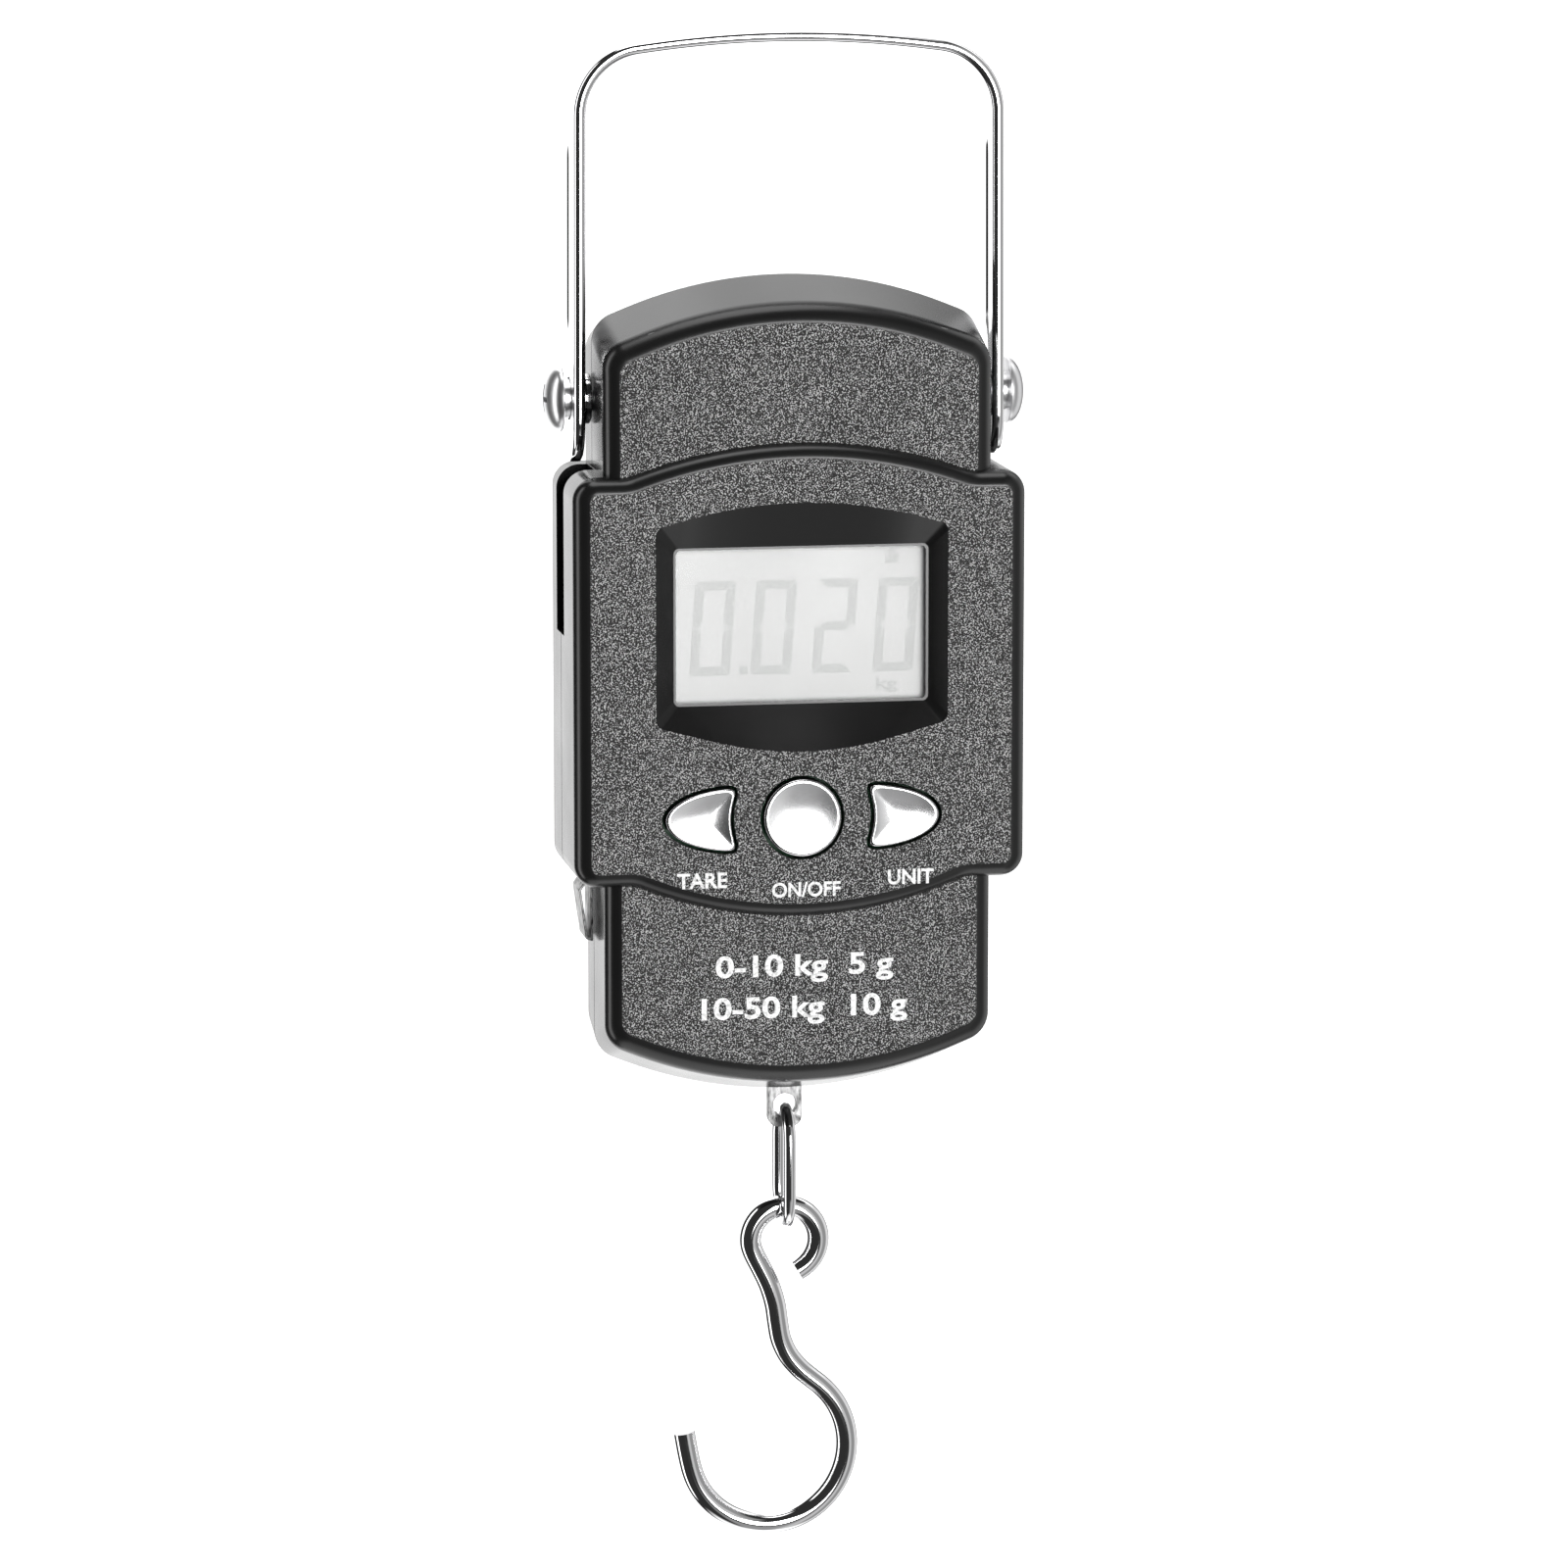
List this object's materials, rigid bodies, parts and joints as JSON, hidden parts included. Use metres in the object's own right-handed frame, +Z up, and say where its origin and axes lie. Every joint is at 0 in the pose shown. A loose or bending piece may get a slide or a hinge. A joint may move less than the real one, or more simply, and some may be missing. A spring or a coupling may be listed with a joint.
{
  "type": "digital hanging fish scale",
  "caption": "Handheld hanging scale: strap handle, plastic housing with a display and three keys, load cell, pull-out tape and a wire hook on an oval link.",
  "frame": {"origin": "middle of the handle's grip, on its lower side, in the plane that carries the load", "axes": "+X to the right of the display, +Y from the face into the housing, +Z up"},
  "size_m": [0.0744, 0.0274, 0.2356],
  "materials": {
    "shell_plastic": "fine spark grain, satin black",
    "chrome_plate": "bright chrome over steel",
    "key_chrome": "metallised moulded key cap",
    "plated_steel": "zinc-plated mild steel",
    "milled_aluminium": "milled",
    "nickel_contact": "nickel plate",
    "clear_lens": "clear acrylic window",
    "lcd_glass": "reflective liquid crystal panel",
    "diffuser_plastic": "white light guide",
    "contact_rubber": "elastomer contact strip",
    "inner_plastic": "plain black moulding",
    "board_laminate": "solder-masked laminate",
    "chip_epoxy": "black potting drop",
    "gauge_film": "amber film",
    "battery_can": "plain dark sleeve, no printing",
    "tape_paint": "painted tape",
    "lead_sheath": "thin insulated wire"
  },
  "bodies": {
    "handle": {"handle_strap": "chrome_plate"},
    "housing": {"battery_1": "battery_can", "battery_2": "battery_can", "battery_bridge": "nickel_contact", "battery_contact_1": "nickel_contact", "battery_contact_2": "nickel_contact", "battery_lead_black": "lead_sheath", "battery_lead_red": "lead_sheath", "battery_spring_1": "nickel_contact", "battery_spring_2": "nickel_contact", "battery_tray": "inner_plastic", "case_screw_1": "plated_steel", "case_screw_2": "plated_steel", "case_screw_3": "plated_steel", "case_screw_4": "plated_steel", "circuit_board": "board_laminate", "controller_chip": "chip_epoxy", "cross_bar": "plated_steel", "display_lens": "clear_lens", "front_shell": "shell_plastic", "gauge_lead_left": "lead_sheath", "gauge_lead_right": "lead_sheath", "hanger_plate": "plated_steel", "lcd_backlight": "diffuser_plastic", "lcd_frame": "inner_plastic", "lcd_panel": "lcd_glass", "load_cell": "milled_aluminium", "load_cell_screw_1": "plated_steel", "load_cell_screw_2": "plated_steel", "load_cell_screw_3": "plated_steel", "load_cell_screw_4": "plated_steel", "pivot_screw_left": "chrome_plate", "pivot_screw_right": "chrome_plate", "pivot_spacer_left": "chrome_plate", "pivot_spacer_right": "chrome_plate", "power_switch": "inner_plastic", "rear_shell": "shell_plastic", "strain_gauge_left": "gauge_film", "strain_gauge_right": "gauge_film", "tape_case": "inner_plastic", "tape_case_lid": "inner_plastic", "tape_spring": "nickel_contact", "tare_switch": "inner_plastic", "unit_switch": "inner_plastic", "zebra_strip": "contact_rubber"},
    "battery_cover": {"battery_cover": "shell_plastic"},
    "power_button": {"power_button": "key_chrome", "power_plunger": "inner_plastic"},
    "tare_button": {"tare_button": "key_chrome", "tare_plunger": "inner_plastic"},
    "unit_button": {"unit_button": "key_chrome", "unit_plunger": "inner_plastic"},
    "tape": {"tape_blade": "tape_paint", "tape_pull_tab": "chrome_plate"},
    "tape_reel": {"tape_coil": "tape_paint", "tape_reel_hub": "inner_plastic"},
    "link": {"oval_link": "chrome_plate"},
    "hook": {"hook": "chrome_plate"}
  },
  "joints": [
    {"name": "handle_swing", "type": "hinge", "parent": "handle", "child": "housing", "pos_m": [0, 0, -0.054], "axis": [1, 0, 0], "range_deg": [-100, 105]},
    {"name": "battery_cover_hinge", "type": "hinge", "parent": "housing", "child": "battery_cover", "pos_m": [0, 0.0106, -0.121], "axis": [-1, 0, 0], "range_deg": [0, 85]},
    {"name": "power_button_press", "type": "slide", "parent": "housing", "child": "power_button", "axis": [0, 1, 0], "range_m": [0, 0.0005], "stiffness_N_per_m": 400, "springref_m": -0.0015},
    {"name": "tare_button_press", "type": "slide", "parent": "housing", "child": "tare_button", "axis": [0, 1, 0], "range_m": [0, 0.0005], "stiffness_N_per_m": 400, "springref_m": -0.0015},
    {"name": "unit_button_press", "type": "slide", "parent": "housing", "child": "unit_button", "axis": [0, 1, 0], "range_m": [0, 0.0005], "stiffness_N_per_m": 400, "springref_m": -0.0015},
    {"name": "tape_pull", "type": "slide", "parent": "housing", "child": "tape", "axis": [0, 0, -1], "range_m": [0, 0.03], "stiffness_N_per_m": 20, "springref_m": -0.03},
    {"name": "tape_reel_turn", "type": "hinge", "parent": "housing", "child": "tape_reel", "pos_m": [-0.0205, 0, -0.0786], "axis": [0, -1, 0], "range_deg": [0, 175]},
    {"name": "link_swing", "type": "hinge", "parent": "housing", "child": "link", "pos_m": [0, 0, -0.1676], "axis": [1, 0, 0], "range_deg": [-45, 45]},
    {"name": "hook_swing", "type": "hinge", "parent": "link", "child": "hook", "pos_m": [0, 0, -0.18395], "axis": [0, 1, 0], "range_deg": [-80, 80]}
  ],
  "couplings": [
    {"joint": "tape_reel_turn", "follows": "tape_pull", "rad_per_m": 94.79}
  ]
}
